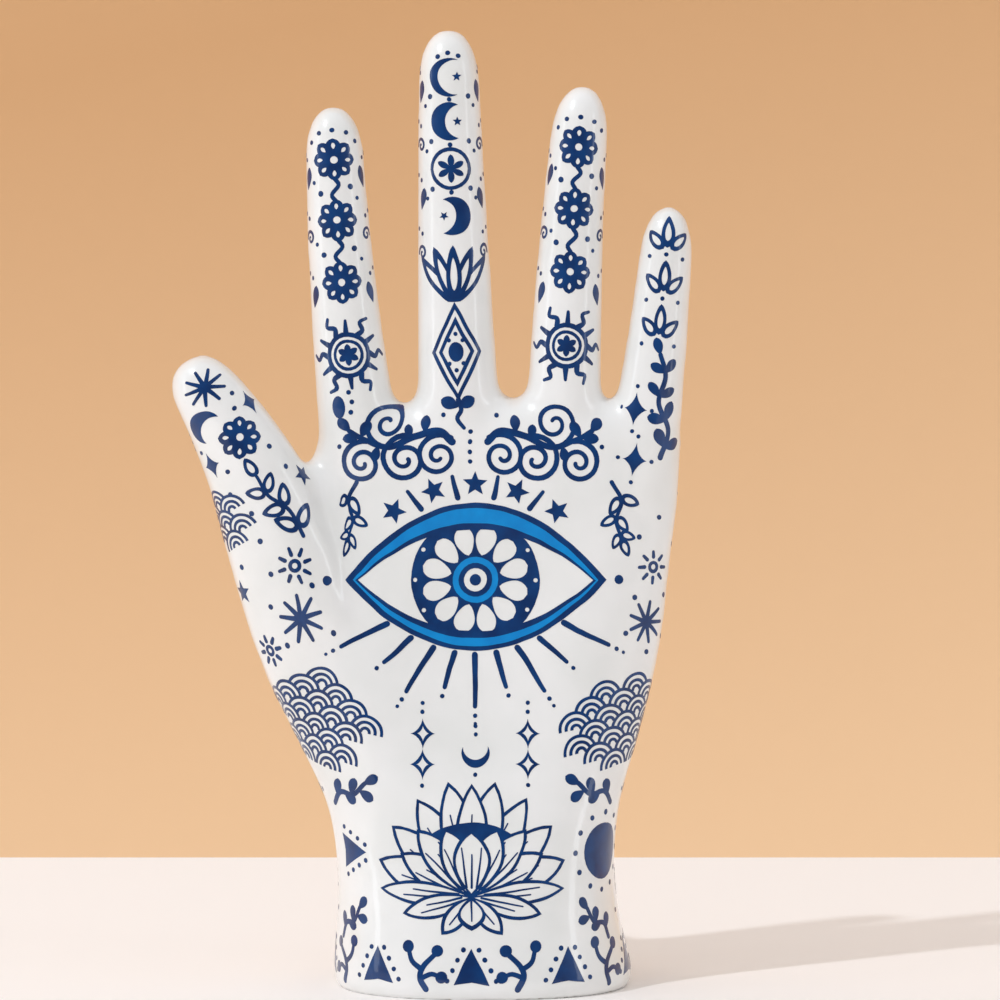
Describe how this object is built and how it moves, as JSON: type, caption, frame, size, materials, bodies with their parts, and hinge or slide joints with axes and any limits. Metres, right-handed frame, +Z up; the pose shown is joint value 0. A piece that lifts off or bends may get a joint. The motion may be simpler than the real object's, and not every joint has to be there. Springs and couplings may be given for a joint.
{
  "type": "hand jewelry stand",
  "caption": "Upright open hand of glazed white ceramic on an oval foot, to hang rings, chains and bracelets on, with blue printed ornaments.",
  "frame": {"origin": "on the surface that the foot stands on, under the middle of the hand's overall width and depth", "axes": "+Z up, along the fingers; -Y is where the palm faces; -X is the thumb's side; Y is the hand's thickness"},
  "size_m": [0.0973, 0.0462, 0.1795],
  "materials": {
    "glazed_porcelain": "white porcelain under a clear gloss glaze, with fired-on navy and bright blue prints"
  },
  "bodies": {
    "root": {"hand": "glazed_porcelain"}
  },
  "joints": []
}
